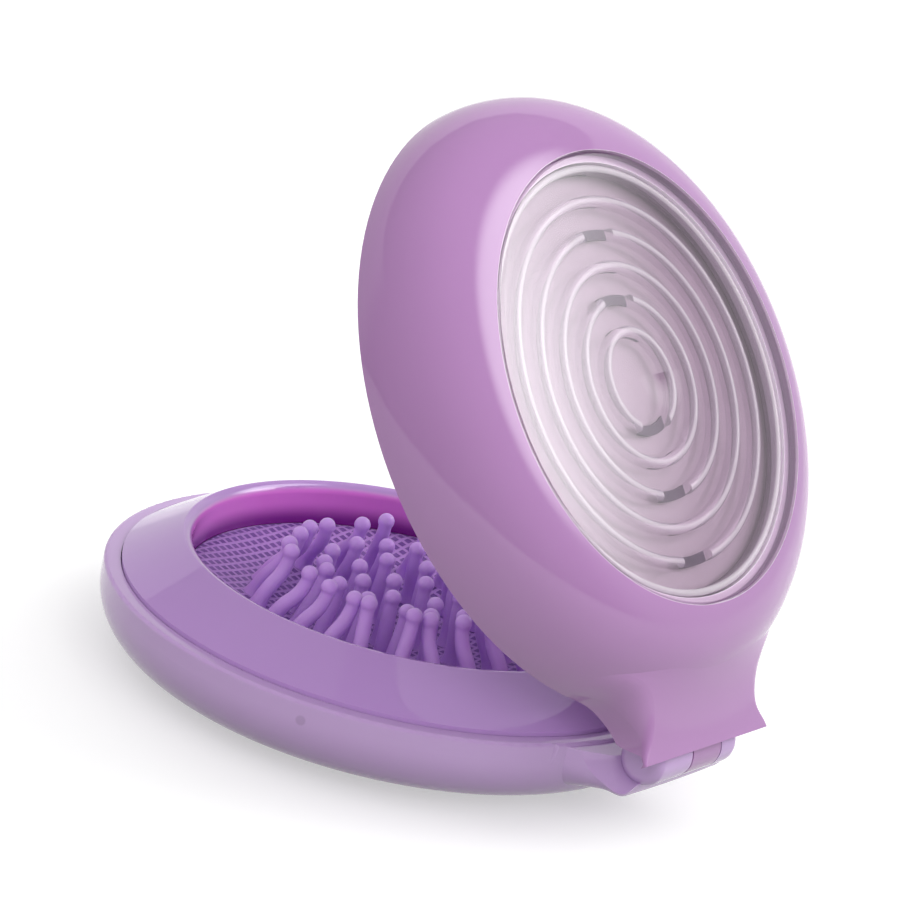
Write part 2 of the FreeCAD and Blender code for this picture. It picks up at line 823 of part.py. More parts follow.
def make_disc(label, radius, bottom, thickness):
    body = new_body(label)
    bevel = thickness / 5
    turned(body, "disc", [
        (0, bottom),
        (radius - bevel, bottom),
        (radius, bottom + bevel),
        (radius, bottom + thickness),
        (0, bottom + thickness),
    ])
    swing_open(body)
    return body


def make_mirror_frame():
    body = new_body("mirror_frame")
    inner_dome = d.dome_round - d.lid_wall - d.frame_gap

    def outer_radius(z):
        return dome_centre_radius + leg(inner_dome, z - dome_centre_z)

    seat_radius = mirror_radius + d.frame_gap
    turned(body, "frame", [
        (mirror_radius - d.frame_lip, frame_bottom_z),
        (outer_radius(frame_bottom_z), frame_bottom_z, inner_dome, 1),
        (outer_radius(frame_top_z), frame_top_z),
        (seat_radius, frame_top_z),
        (seat_radius, mirror_z),
        (mirror_radius - d.frame_lip, mirror_z),
    ])
    swing_open(body)
    return body


pieces = [
    make_base_shell(),
    make_bezel_ring(),
    make_bristle_pad(),
    make_pad_clamp_ring(),
    make_push_button(),
    make_hinge_pin(),
    make_lid_shell(),
    make_window_lens(),
    make_maze_plate(),
    make_disc("maze_backing", well_radius - d.lens_gap, backing_z, d.backing_thickness),
    make_disc("mirror", mirror_radius, mirror_z, d.mirror_thickness),
    make_mirror_frame(),
]
outer_group = make_bristles("outer_group", outer_root_radius, d.outer_sway_angle, d.outer_length,
                            d.outer_pitch_angle, OUTER_PER_SECTOR)
middle_group = make_bristles("middle_group", middle_root_radius, d.middle_sway_angle, d.middle_length,
                             d.middle_pitch_angle, MIDDLE_PER_SECTOR)
inner_group = make_bristles("inner_group", inner_root_radius, d.inner_sway_angle, d.inner_length,
                            as_size(360) / INNER_BRISTLES, INNER_BRISTLES)
centre_group = make_bristles("centre_group", d.centre_ring_radius, d.centre_sway_angle, d.centre_length,
                             as_size(360) / CENTRE_BRISTLES, CENTRE_BRISTLES)
pieces += sector_copies(outer_group, "bristles_outer", d.outer_pitch_angle, OUTER_PER_SECTOR)
pieces += sector_copies(middle_group, "bristles_middle", d.middle_pitch_angle, MIDDLE_PER_SECTOR)
pieces.append(turned_copy(inner_group, "bristles_inner", d.sector_turn_angle))
pieces.append(turned_copy(centre_group, "bristles_centre", d.centre_turn_angle))
doc.recompute()

for item in doc.Objects:
    if "Invalid" in item.State or "Error" in item.State:
        raise RuntimeError(f"{item.Label} failed: {item.State}")
os.makedirs("parts", exist_ok=True)
for piece in pieces:
    if piece.Shape.isNull() or not piece.Shape.isValid():
        raise RuntimeError(f"{piece.Label} has no valid shape")
    print(piece.Label, len(piece.Shape.Solids), round(piece.Shape.Volume, 2))
    piece.Shape.exportStep(f"parts/{piece.Label}.step")
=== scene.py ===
import math
import random
from collections import namedtuple

import bpy
from mathutils import Matrix, Vector


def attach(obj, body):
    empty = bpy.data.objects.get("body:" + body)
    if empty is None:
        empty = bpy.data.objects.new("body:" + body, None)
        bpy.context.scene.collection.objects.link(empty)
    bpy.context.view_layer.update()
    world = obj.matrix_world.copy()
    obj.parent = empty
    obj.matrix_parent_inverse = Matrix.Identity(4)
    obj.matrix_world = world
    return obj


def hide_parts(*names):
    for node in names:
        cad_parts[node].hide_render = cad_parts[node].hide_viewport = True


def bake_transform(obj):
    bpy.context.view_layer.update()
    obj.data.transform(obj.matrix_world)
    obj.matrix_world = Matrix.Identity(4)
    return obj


# Pop-up styling brush: the solids get their finishes here, and the soft pad and its bristles
# are drawn as the smooth pieces that they are. Lengths are in metres.

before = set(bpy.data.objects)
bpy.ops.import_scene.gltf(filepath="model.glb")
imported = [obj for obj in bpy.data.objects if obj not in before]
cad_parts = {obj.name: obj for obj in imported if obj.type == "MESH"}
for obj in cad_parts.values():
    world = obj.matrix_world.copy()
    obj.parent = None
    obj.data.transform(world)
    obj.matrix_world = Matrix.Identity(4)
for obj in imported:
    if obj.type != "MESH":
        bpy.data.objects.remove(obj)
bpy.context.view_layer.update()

MM = 0.001
WHITE = (1, 1, 1)

# The lid is stored open by this angle about the hinge; its own heights are those with it shut.
HINGE = (0, -48.08 * MM, 12.52 * MM)
LID_ANGLE = math.radians(52.53)

# The window in the lid and the maze behind it
WINDOW_RADIUS = 31.31 * MM
LEDGE_RADIUS = WINDOW_RADIUS - 1.3 * MM
LENS_RIM_INNER = WINDOW_RADIUS - 0.45 * MM
LENS_RIM_OUTER = WINDOW_RADIUS - 0.3 * MM
SEAT_COAT_Z = 22.2 * MM
MAZE_RADIUS = 29.8 * MM
MAZE_WALL = 1.1 * MM
MAZE_UNDERSIDE_Z = 22.4 * MM
MAZE_FLOOR_Z = 23.0 * MM
MAZE_TOP_Z = 25.0 * MM
MAZE_SILL = 0.5 * MM
MAZE_HALF_GATE = 3.3 * MM
MAZE_CORE_RADIUS = 6.1 * MM
CLEAR_GAP = 0.02 * MM

# The soft pad: a shallow cone from its clamped edge down to the flat hub on the button.
PAD_EDGE_RADIUS = 29.5 * MM
PAD_EDGE_Z = 12.0 * MM
PAD_HUB_RADIUS = 9.4 * MM
PAD_SLOPE = math.radians(14)
PAD_HUB_Z = PAD_EDGE_Z - (PAD_EDGE_RADIUS - PAD_HUB_RADIUS) * math.tan(PAD_SLOPE)
PAD_THICKNESS = 1.2 * MM
PAD_SIDES = 96
PAD_ROWS = 60
PAD_FOLD = 0.8 * MM
FLANGE_RADIUS = 30.9 * MM

# The bezel's well: painted shade, darkest by the pad and fading upwards, and a painted pale band of
# light along its lip.
LIP_RADIUS = 31.0 * MM
LIP_Z = 19.16 * MM
WELL_FULL_SHADE_Z = PAD_EDGE_Z + 0.5 * MM
WELL_SHADE_END_Z = PAD_EDGE_Z + 3.5 * MM
LIP_LIGHT_START_Z = LIP_Z - 2.2 * MM
LIP_LIGHT_FULL_Z = LIP_Z - 1.2 * MM

MOULD_MARK = (-39.84 * MM, -14.85 * MM, 9.82 * MM)
MOULD_MARK_RADIUS = 0.85 * MM

GLOSS_ROUGHNESS = 0.04
POLISH_SPREAD = 0.04

# Bristles: a sunk and flared root, a stem that narrows to a neck, and a ball.
STEM_RADIUS = 1.05 * MM
NECK_RADIUS = 0.88 * MM
NECK_START = 0.45
BALL_RADIUS = 1.18 * MM
ROOT_DEPTH = 0.75 * MM
ROOT_FLARE = 0.5 * MM
FLARE_FADE = 11
BRISTLE_SIDES = 18
BRISTLE_STEPS = 14
BALL_STEPS = 10

SECTORS = 8
SECTOR_TURN = math.radians(21.3)
CENTRE_TURN = math.radians(146.6)

# sway is the lean at mid length, pitch the angle between neighbours, count the bristles in a group
Ring = namedtuple("Ring", "root_radius length sway pitch count")
RINGS = {
    "outer": Ring(21.0 * MM, 9.43 * MM, math.radians(45), math.radians(15), 3),
    "middle": Ring(14.9 * MM, 8.92 * MM, math.radians(28), math.radians(22.5), 2),
    "inner": Ring(8.2 * MM, 9.46 * MM, math.radians(9.7), math.radians(45), 8),
    "centre": Ring(2.6 * MM, 9.42 * MM, math.radians(3), math.radians(180), 2),
}

CHANCE = random.Random(5)
LEAST_SWAY = 0.82
MOST_SWAY = 1.12
MAX_TWIST = math.radians(22)

LID_COLOUR = (0.378, 0.197, 0.41)
BASE_COLOUR = (0.50, 0.33, 0.60)
BEZEL_COLOUR = (0.44, 0.26, 0.565)
# The bristles' colour is paler than their rubber, painted light that lifts them out of the shade under
# the lid.
BRISTLE_COLOUR = (0.58, 0.33, 0.79)
BACKING_COLOUR = (0.50, 0.365, 0.475)
STEEL_COLOUR = (0.62, 0.62, 0.64)
MIRROR_COLOUR = (0.92, 0.92, 0.93)

# The floor is seen as almost white; the grey that it throws back at the object is darker.
FLOOR_HALF = 4.0
FLOOR_DROP = 0.1 * MM
FLOOR_BOUNCE = (0.28, 0.28, 0.28)
FLOOR_SEEN = (0.60, 0.60, 0.60)
FLOOR_GLOW = 0.46

# The room that gloss mirrors, and the even light on matt surfaces
ROOM_LIGHT = 0.35
SWEEP_LIGHT = 0.57
SWEEP_AZIMUTH = 33.4
SWEEP_EDGE = (0.545, 0.53)
SWEEP_SIDE = (-0.25, 0.15)
SOFTBOX_LIGHT = 5.4
SOFTBOX_LOW_LIGHT = 3.2
MATT_LIGHT = 0.75

LAMP_TARGET = Vector((0, -0.01, 0.04))

CAMERA_PLACE = (-0.443855, -0.296213, 0.216926)
CAMERA_AZIMUTH = -56.575
CAMERA_ELEVATION = 18.754
CAMERA_ROLL = math.radians(-13.537)
CAMERA_LENS = 159.98
CAMERA_SENSOR = 36


# Shader helpers


class Shader:
    """The node tree of a material or a world, with short ways to add nodes and join them."""

    def __init__(self, owner, output="OutputMaterial"):
        owner.use_nodes = True
        self.owner = owner
        self.tree = owner.node_tree
        self.tree.nodes.clear()
        self.output = self.node(output)

    def put(self, socket, value):
        """Joins another socket to this one, or sets its value."""
        if isinstance(value, bpy.types.NodeSocket):
            self.tree.links.new(value, socket)
        elif socket.type == "RGBA":
            socket.default_value = (*value, 1)
        else:
            socket.default_value = value

    def node(self, kind, inputs=None, **settings):
        node = self.tree.nodes.new("ShaderNode" + kind)
        for key, value in settings.items():
            setattr(node, key, value)
        for key, value in (inputs or {}).items():
            self.put(node.inputs[key], value)
        return node

    def maths(self, operation, *values, clamp=False):
        node = self.node("Math", operation=operation, use_clamp=clamp)
        for socket, value in zip(node.inputs, values):
            self.put(socket, value)
        return node.outputs[0]

    def product(self, first, *others):
        for other in others:
            first = self.maths("MULTIPLY", first, other)
        return first

    def total(self, start, *parts):
        """A start value and, of each part, a mask times its share."""
        for mask, share in parts:
            start = self.maths("MULTIPLY_ADD", mask, share, start)
        return start

    def ramp(self, value, low, high):
        """0 at low and 1 at high, eased between them; low may be the greater."""
        inputs = {"Value": value, "From Min": low, "From Max": high}
        return self.node("MapRange", inputs, interpolation_type="SMOOTHSTEP").outputs["Result"]

    def between(self, factor, first, second):
        """A number between two, at the number sockets of the mix node."""
        return self.node("Mix", {0: factor, 2: first, 3: second}).outputs[0]

    def blend(self, factor, first, second):
        """A colour between two, at the colour sockets of the mix node."""
        return self.node("Mix", {0: factor, 6: first, 7: second}, data_type="RGBA").outputs[2]

    def place(self):
        return self.node("TexCoord").outputs["Object"]

    def axes(self, vector):
        return self.node("SeparateXYZ", {"Vector": vector}).outputs

    def lid_axes(self):
        """Places on the lid as they are with it shut."""
        inputs = {"Vector": self.place(), "Center": HINGE, "Angle": -LID_ANGLE}
        return self.axes(self.node("VectorRotate", inputs, rotation_type="X_AXIS").outputs[0])

    def radius(self, axes):
        squares = [self.maths("MULTIPLY", axis, axis) for axis in axes[:2]]
        return self.maths("SQRT", self.maths("ADD", *squares))

    def noise(self, scale, detail):
        inputs = {"Vector": self.place(), "Scale": scale, "Detail": detail}
        return self.node("TexNoise", inputs).outputs["Fac"]

    def bump(self, height, strength, distance):
        inputs = {"Height": height, "Strength": strength, "Distance": distance}
        return self.node("Bump", inputs).outputs["Normal"]

    def principled(self, **inputs):
        named = {key.replace("_", " "): value for key, value in inputs.items()}
        return self.node("BsdfPrincipled", named).outputs[0]

    def finish(self, surface):
        self.put(self.output.inputs["Surface"], surface)
        return self.owner


def new_shader(name):
    return Shader(bpy.data.materials.new(name))


def shade(colour, factor):
    return tuple(min(1.0, channel * factor) for channel in colour)


def clouded(s, colour):
    cloud = s.noise(scale=35, detail=3)
    return s.blend(cloud, shade(colour, 0.96), shade(colour, 1.04))


def gloss(s, colour, roughness):
    """Moulded glossy plastic of a colour set by nodes: its polish is a little uneven."""
    polish = s.total(roughness - POLISH_SPREAD / 2, (s.noise(scale=90, detail=2), POLISH_SPREAD))
    wave = s.bump(s.noise(scale=120, detail=1), strength=0.02, distance=0.4 * MM)
    return s.finish(s.principled(
        Base_Color=colour, Roughness=polish, IOR=1.5, Normal=wave,
        Subsurface_Weight=0.12, Subsurface_Radius=(4 * MM, 2 * MM, 4 * MM), Subsurface_Scale=0.5,
    ))


def gloss_plastic(name, colour, roughness):
    s = new_shader(name)
    return gloss(s, clouded(s, colour), roughness)


def case_plastic(name, colour):
    """The case's plastic, with the faint round mark that its mould left on the side."""
    s = new_shader(name)
    inputs = {0: s.place(), 1: MOULD_MARK}
    away = s.node("VectorMath", inputs, operation="DISTANCE").outputs["Value"]
    mark = s.ramp(away, MOULD_MARK_RADIUS, 0.6 * MOULD_MARK_RADIUS)
    return gloss(s, s.blend(mark, clouded(s, colour), shade(colour, 0.8)), GLOSS_ROUGHNESS)


def lid_plastic(name, colour, ledge_colour, wall_colour):
    """The lid's plastic; the window's seat, behind the clear sheet, has a paler coat. The seat's wall is
    painted much paler than its ledge, painted light for the shade that falls in the gap under the
    window.
    """
    s = new_shader(name)
    axes = s.lid_axes()
    radius = s.radius(axes)
    inside = s.ramp(radius, WINDOW_RADIUS + 0.1 * MM, WINDOW_RADIUS)
    seat = s.product(inside, s.ramp(axes[2], SEAT_COAT_Z, SEAT_COAT_Z + 0.2 * MM))
    on_ledge = s.ramp(radius, LEDGE_RADIUS, LEDGE_RADIUS + 0.1 * MM)
    # painted light: the seat's wall is paler than its ledge
    coat = s.blend(on_ledge, wall_colour, ledge_colour)
    return gloss(s, s.blend(seat, clouded(s, colour), coat), GLOSS_ROUGHNESS)


def bezel_plastic(name, colour, painted_lip_light_colour, wall_colour, painted_shade_colour):
    """The bezel is glossy outside. The wall of the well is a stronger colour, partly its own plastic and
    partly painted light bounced round the well; painted shade darkens it towards the pad, and a painted
    band of light runs along its lip.
    """
    s = new_shader(name)
    axes = s.axes(s.place())
    outside = s.ramp(s.radius(axes), LIP_RADIUS + 0.05 * MM, LIP_RADIUS + 0.5 * MM)
    # painted shade: the wall of the well darkens towards the pad
    wall = s.blend(s.ramp(axes[2], WELL_FULL_SHADE_Z, WELL_SHADE_END_Z), painted_shade_colour, wall_colour)
    # painted light: a paler band along the lip of the well
    wall = s.blend(s.ramp(axes[2], LIP_LIGHT_START_Z, LIP_LIGHT_FULL_Z), wall, painted_lip_light_colour)
    return gloss(s, s.blend(outside, wall, clouded(s, colour)), GLOSS_ROUGHNESS)


def rubber(name, colour):
    s = new_shader(name)
    cloud = s.noise(scale=260, detail=3)
    mixed = s.blend(cloud, shade(colour, 0.92), shade(colour, 1.08))
    grain = s.bump(s.noise(scale=2400, detail=2), strength=0.12, distance=0.06 * MM)
    return s.finish(s.principled(
        Base_Color=mixed, Roughness=0.42, Normal=grain,
        Subsurface_Weight=0.2, Subsurface_Radius=(3 * MM, 1.5 * MM, 4 * MM), Subsurface_Scale=0.4,
    ))


def net_rubber(name, rib_colour, cell_shade_colour, pitch):
    """The pad's face: a net of fine raised ribs with a sunk cell in each mesh; the cells are painted
    dark, painted shade in the hollows.
    """
    s = new_shader(name)
    rib_edge = 0.13
    cell_edge = 0.24
    sides = []
    for axis in s.axes(s.place())[:2]:
        wave = s.maths("PINGPONG", s.maths("DIVIDE", axis, pitch), 0.5)
        sides.append(s.ramp(wave, rib_edge, cell_edge))
    cell = s.product(*sides)
    uneven = s.total(0.6, (s.noise(scale=500, detail=2), 0.5))
    # painted shade: the sunk cells are dark
    mixed = s.blend(s.maths("MULTIPLY", cell, uneven, clamp=True), rib_colour, cell_shade_colour)
    relief = s.bump(s.maths("SUBTRACT", 1.0, cell), strength=0.7, distance=0.3 * MM)
    return s.finish(s.principled(Base_Color=mixed, Roughness=0.5, Normal=relief))


def shiny(s, under, polish, share):
    """What lies under a clear face, with a share of the room mirrored in the face's front."""
    shine = s.node("BsdfGlossy", {"Color": WHITE, "Roughness": polish}).outputs[0]
    front = s.maths("SUBTRACT", 1.0, s.node("NewGeometry").outputs["Backfacing"])
    edge = s.product(s.node("Fresnel", {"IOR": 1.49}).outputs[0], front, share)
    return s.finish(s.node("MixShader", {0: edge, 1: under, 2: shine}).outputs[0])


def clear_sheet(name, tint, seat_tint, rim_shade_tint):
    """A clear window: what lies behind shows straight through, less over its seat and least at its
    bevelled rim, where the darker tint is painted shade for the dark line that refraction at the bevel
    makes."""
    s = new_shader(name)
    polish = s.total(0.03, (s.noise(scale=60, detail=2), 0.03))
    radius = s.radius(s.lid_axes())
    over_seat = s.ramp(radius, LEDGE_RADIUS, LEDGE_RADIUS + 0.15 * MM)
    # painted shade: the tint darkens at the bevelled rim
    rim = s.ramp(radius, LENS_RIM_INNER, LENS_RIM_OUTER)
    seen = s.blend(rim, s.blend(over_seat, tint, seat_tint), rim_shade_tint)
    through = s.node("BsdfTransparent", {"Color": seen}).outputs[0]
    return shiny(s, through, polish, 1.0)


def clear_moulding(name, tint, floor_colour, side_colour, crest_highlight_colour, sill_shade_colour):
    """The maze: milky clear plastic, with a painted highlight along the crests of its walls, which are
    paler, milkier and mirror more, dimmer on their sides, and a sill across each gate painted dark,
    painted shade where refraction darkens the gate."""
    s = new_shader(name)
    polish = s.total(0.08, (s.noise(scale=60, detail=2), 0.04))
    axes = s.lid_axes()
    height = s.maths("SUBTRACT", axes[2], MAZE_FLOOR_Z)
    wall_height = MAZE_TOP_Z - MAZE_FLOOR_Z
    raised = s.ramp(height, 0.05 * MM, 0.15 * MM)
    # painted shade: the gate sills are dark
    sill = s.product(
        s.ramp(s.maths("ABSOLUTE", axes[0]), MAZE_HALF_GATE, MAZE_HALF_GATE - 0.2 * MM),
        s.ramp(s.maths("ABSOLUTE", axes[1]), MAZE_CORE_RADIUS - 2 * MM, MAZE_CORE_RADIUS - 1 * MM),
        raised,
        s.ramp(height, MAZE_SILL + 0.15 * MM, MAZE_SILL + 0.05 * MM),
    )
    # painted highlight: the crests of the walls are paler
    crest = s.ramp(height, 0.78 * wall_height, 0.95 * wall_height)
    colour = s.blend(crest, s.blend(raised, floor_colour, side_colour), crest_highlight_colour)
    milk = s.node("BsdfDiffuse", {"Color": s.blend(sill, colour, sill_shade_colour)}).outputs[0]
    through = s.node("BsdfTransparent", {"Color": tint}).outputs[0]
    above = s.ramp(axes[2], MAZE_UNDERSIDE_Z + 0.05 * MM, MAZE_UNDERSIDE_Z + 0.1 * MM)
    cover = s.product(s.total(0.2, (raised, 0.1), (crest, 0.2), (sill, 0.6)), above)
    body = s.node("MixShader", {0: cover, 1: through, 2: milk}).outputs[0]
    return shiny(s, body, polish, s.total(0.1, (crest, 0.5)))


def silver_sheet(name, colour):
    s = new_shader(name)
    cloud = s.noise(scale=70, detail=3)
    mixed = s.blend(cloud, shade(colour, 0.94), shade(colour, 1.04))
    return s.finish(s.principled(Base_Color=mixed, Roughness=0.45, Metallic=0.1))


def polished_metal(name, colour, roughness, scale):
    s = new_shader(name)
    mixed = s.blend(s.noise(scale, detail=2), shade(colour, 0.97), colour)
    polish = s.total(0.75 * roughness, (s.noise(scale, detail=3), 0.5 * roughness))
    return s.finish(s.principled(Base_Color=mixed, Roughness=polish, Metallic=1.0))


# Mesh helpers


def new_piece(name, points, faces, material):
    mesh = bpy.data.meshes.new(name)
    mesh.from_pydata(points, [], faces)
    mesh.validate()
    mesh.shade_smooth()
    mesh.materials.append(material)
    piece = bpy.data.objects.new(name, mesh)
    bpy.context.scene.collection.objects.link(piece)
    return piece


def turned_surface(profile, upward):
    """Points and faces of a profile of (radius, height) turned about the case's axis, from its
    centre outwards."""
    points = [(0, 0, profile[0][1])]
    for radius, height in profile[1:]:
        for k in range(PAD_SIDES):
            angle = 2 * math.pi * k / PAD_SIDES
            points.append((radius * math.cos(angle), radius * math.sin(angle), height))
    faces = []
    for k in range(PAD_SIDES):
        after = (k + 1) % PAD_SIDES
        faces.append((0, 1 + k, 1 + after))
        for row in range(len(profile) - 2):
            inner = 1 + row * PAD_SIDES
            outer = inner + PAD_SIDES
            faces.append((inner + k, outer + k, outer + after, inner + after))
    if not upward:
        faces = [tuple(reversed(face)) for face in faces]
    return points, faces


def pad_height(radius):
    """Height of the pad's face, with the fold round its hub eased."""
    run = radius - PAD_HUB_RADIUS
    rise = math.tan(PAD_SLOPE) * (run + math.sqrt(run * run + PAD_FOLD * PAD_FOLD)) / 2
    return min(PAD_HUB_Z + rise, PAD_EDGE_Z)


def pad_profile(lift):
    profile = []
    for k in range(PAD_ROWS + 1):
        radius = PAD_EDGE_RADIUS * k / PAD_ROWS
        profile.append((radius, pad_height(radius) + lift))
    profile.append((FLANGE_RADIUS, PAD_EDGE_Z + lift))
    return profile


def bristle_path(root_radius, length, sway):
    """Centre line of a bristle in the plane of its root: it leaves the pad square to it, sways
    inwards and ends upright. Each point has the lean of the line there."""
    slope = 0 if root_radius < PAD_HUB_RADIUS else PAD_SLOPE
    x = root_radius
    z = PAD_HUB_Z + (root_radius - PAD_HUB_RADIUS) * math.tan(slope)
    step = length / 2 / BRISTLE_STEPS
    path = [(x, z, slope)]
    for first, last in ((slope, sway), (sway, 0)):
        for k in range(BRISTLE_STEPS):
            lean = first + (last - first) * (k + 0.5) / BRISTLE_STEPS
            x -= step * math.sin(lean)
            z += step * math.cos(lean)
            path.append((x, z, first + (last - first) * (k + 1) / BRISTLE_STEPS))
    return path


def bristle_rings(path):
    """Rings of a bristle from its root to the ball, each as (x, z, lean, radius)."""
    end_x, end_z, end_lean = path[-1]
    first_tilt = math.asin(0.95 * NECK_RADIUS / BALL_RADIUS)
    ball_start = BALL_RADIUS * math.cos(first_tilt)
    rings = []
    for k, (x, z, lean) in enumerate(path):
        # the stem ends where the ball begins, so rings inside the ball are left out
        if math.hypot(x - end_x, z - end_z) > ball_start * 1.05:
            share = k / (len(path) - 1)
            flare = ROOT_FLARE * math.exp(-share * FLARE_FADE)
            narrowed = max(0.0, (share - NECK_START) / (1 - NECK_START)) ** 2
            neck = (STEM_RADIUS - NECK_RADIUS) * narrowed
            rings.append((x, z, lean, STEM_RADIUS + flare - neck))
    root_x, root_z, root_lean, root_radius = rings[0]
    sunk_x = root_x + ROOT_DEPTH * math.sin(root_lean)
    sunk_z = root_z - ROOT_DEPTH * math.cos(root_lean)
    rings.insert(0, (sunk_x, sunk_z, root_lean, root_radius))
    for k in range(1, BALL_STEPS + 1):
        tilt = first_tilt + (math.pi - first_tilt) * k / (BALL_STEPS + 1)
        shift = -BALL_RADIUS * math.cos(tilt)
        x = end_x - shift * math.sin(end_lean)
        z = end_z + shift * math.cos(end_lean)
        rings.append((x, z, end_lean, BALL_RADIUS * math.sin(tilt)))
    return rings


def bristle_mesh(path, angle, twist, points, faces):
    """Adds one bristle to a mesh. The twist turns the way that it sways, about its root."""
    rings = bristle_rings(path)
    root_x = path[0][0]
    end_x, end_z, end_lean = path[-1]
    start = len(points)
    turn = Matrix.Rotation(angle, 3, "Z")
    sway_turn = Matrix.Rotation(angle + twist, 3, "Z")
    root = turn @ Vector((root_x, 0, 0))
    for x, z, lean, radius in rings:
        centre = root + sway_turn @ Vector((x - root_x, 0, z))
        for j in range(BRISTLE_SIDES):
            around = 2 * math.pi * j / BRISTLE_SIDES
            u = radius * math.cos(around)
            v = radius * math.sin(around)
            points.append(centre + turn @ Vector((u * math.cos(lean), v, u * math.sin(lean))))
    tip = len(points)
    tip_x = end_x - BALL_RADIUS * math.sin(end_lean)
    tip_z = end_z + BALL_RADIUS * math.cos(end_lean)
    points.append(root + sway_turn @ Vector((tip_x - root_x, 0, tip_z)))
    for row in range(len(rings) - 1):
        low = start + row * BRISTLE_SIDES
        high = low + BRISTLE_SIDES
        for j in range(BRISTLE_SIDES):
            after = (j + 1) % BRISTLE_SIDES
            faces.append((low + j, low + after, high + after, high + j))
    crown = start + (len(rings) - 1) * BRISTLE_SIDES
    for j in range(BRISTLE_SIDES):
        faces.append((crown + j, crown + (j + 1) % BRISTLE_SIDES, tip))
    faces.append(tuple(start + j for j in reversed(range(BRISTLE_SIDES))))


def bristle_group(name, ring, middle_angle, body, material):
    """The bristles of one group, each swaying a little unlike its neighbours."""
    points = []
    faces = []
    for k in range(ring.count):
        sway = ring.sway * CHANCE.uniform(LEAST_SWAY, MOST_SWAY)
        twist = CHANCE.uniform(-MAX_TWIST, MAX_TWIST)
        angle = middle_angle + ring.pitch * (k - (ring.count - 1) / 2)
        path = bristle_path(ring.root_radius, ring.length, sway)
        bristle_mesh(path, angle, twist, points, faces)
    piece = new_piece(name, points, faces, material)
    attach(piece, body)
    return piece


def make_maze_rim(material):
    """The maze's rim, a clear round wall close to the window's edge."""
    steps = 144
    round_steps = 8
    half = MAZE_WALL / 2
    middle = MAZE_RADIUS - half
    crown_z = MAZE_TOP_Z - half
    profile = [(middle - half, MAZE_FLOOR_Z)]
    for k in range(round_steps + 1):
        angle = math.pi * (1 - k / round_steps)
        profile.append((middle + half * math.cos(angle), crown_z + half * math.sin(angle)))
    profile.append((middle + half, MAZE_FLOOR_Z))
    hinge = Vector(HINGE)
    swing = Matrix.Rotation(LID_ANGLE, 3, "X")
    points = []
    faces = []
    rows = len(profile)
    for k in range(steps):
        angle = 2 * math.pi * k / steps
        for radius, height in profile:
            place = Vector((radius * math.cos(angle), radius * math.sin(angle), height))
            points.append(hinge + swing @ (place - hinge))
        after = (k + 1) % steps
        for row in range(rows):
            above = (row + 1) % rows
            faces.append((k * rows + row, k * rows + above, after * rows + above, after * rows + row))
    piece = new_piece("maze_rim", points, faces, material)
    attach(piece, "lid")


# Finishes of the solids

base_finish = case_plastic("base_plastic", BASE_COLOUR)
inner_finish = gloss_plastic("inner_plastic", BASE_COLOUR, roughness=0.35)
# The bezel's well gets a painted band of light along its lip and painted shade deep by the pad.
bezel_finish = bezel_plastic(
    "bezel_plastic",
    BEZEL_COLOUR,
    painted_lip_light_colour=(0.56, 0.29, 0.58),
    wall_colour=(0.72, 0.19, 0.67),
    painted_shade_colour=(0.20, 0.01, 0.24),
)
lid_finish = lid_plastic(
    "lid_plastic",
    LID_COLOUR,
    ledge_colour=(0.66, 0.54, 0.67),
    # the seat's wall colour is painted light over the shade in the gap
    wall_colour=(0.92, 0.82, 0.93),
)
lens_finish = clear_sheet(
    "lens_plastic",
    tint=(0.98, 0.97, 0.98),
    seat_tint=(0.92, 0.88, 0.92),
    rim_shade_tint=(0.66, 0.60, 0.67),
)
maze_finish = clear_moulding(
    "maze_plastic",
    tint=(0.97, 0.95, 0.97),
    floor_colour=(0.54, 0.44, 0.53),
    side_colour=(0.64, 0.51, 0.65),
    crest_highlight_colour=(0.88, 0.82, 0.88),
    sill_shade_colour=(0.09, 0.06, 0.10),
)

FINISHES = {
    "base_shell": base_finish,
    "bezel_ring": bezel_finish,
    "push_button": base_finish,
    "pad_clamp_ring": inner_finish,
    "hinge_pin": polished_metal("pin_steel", STEEL_COLOUR, roughness=0.25, scale=300),
    "lid_shell": lid_finish,
    "window_lens": lens_finish,
    "maze_plate": maze_finish,
    "maze_backing": silver_sheet("maze_backing_sheet", BACKING_COLOUR),
    "mirror": polished_metal("mirror_silver", MIRROR_COLOUR, roughness=0.02, scale=40),
    "mirror_frame": inner_finish,
}
for node, finish in FINISHES.items():
    part = bpy.data.objects[node]
    part.data.materials.clear()
    part.data.materials.append(finish)

# The clear pieces lie on others face to face; raised along the lid's axis by a hair's breadth, such
# faces stay apart in the render.
for node in ("window_lens", "maze_plate"):
    for axis, share in (("Y", -math.sin(LID_ANGLE)), ("Z", math.cos(LID_ANGLE))):
        lift = bpy.data.objects[node].modifiers.new("lift_" + axis.lower(), "DISPLACE")
        lift.direction = axis
        lift.mid_level = 0
        lift.strength = share * CLEAR_GAP

make_maze_rim(maze_finish)

# Soft pad and bristles

bristle_rubber = rubber("bristle_rubber", BRISTLE_COLOUR)
pad_net = net_rubber(
    "pad_net",
    rib_colour=(0.41, 0.215, 0.58),
    cell_shade_colour=(0.12, 0.04, 0.25),
    pitch=1.4 * MM,
)

pad_top = new_piece("pad_top", *turned_surface(pad_profile(0), upward=True), pad_net)
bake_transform(pad_top)
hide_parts("bristle_pad")

under_surface = turned_surface(pad_profile(-PAD_THICKNESS), upward=False)
pad_under = new_piece("pad_under", *under_surface, bristle_rubber)
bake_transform(pad_under)

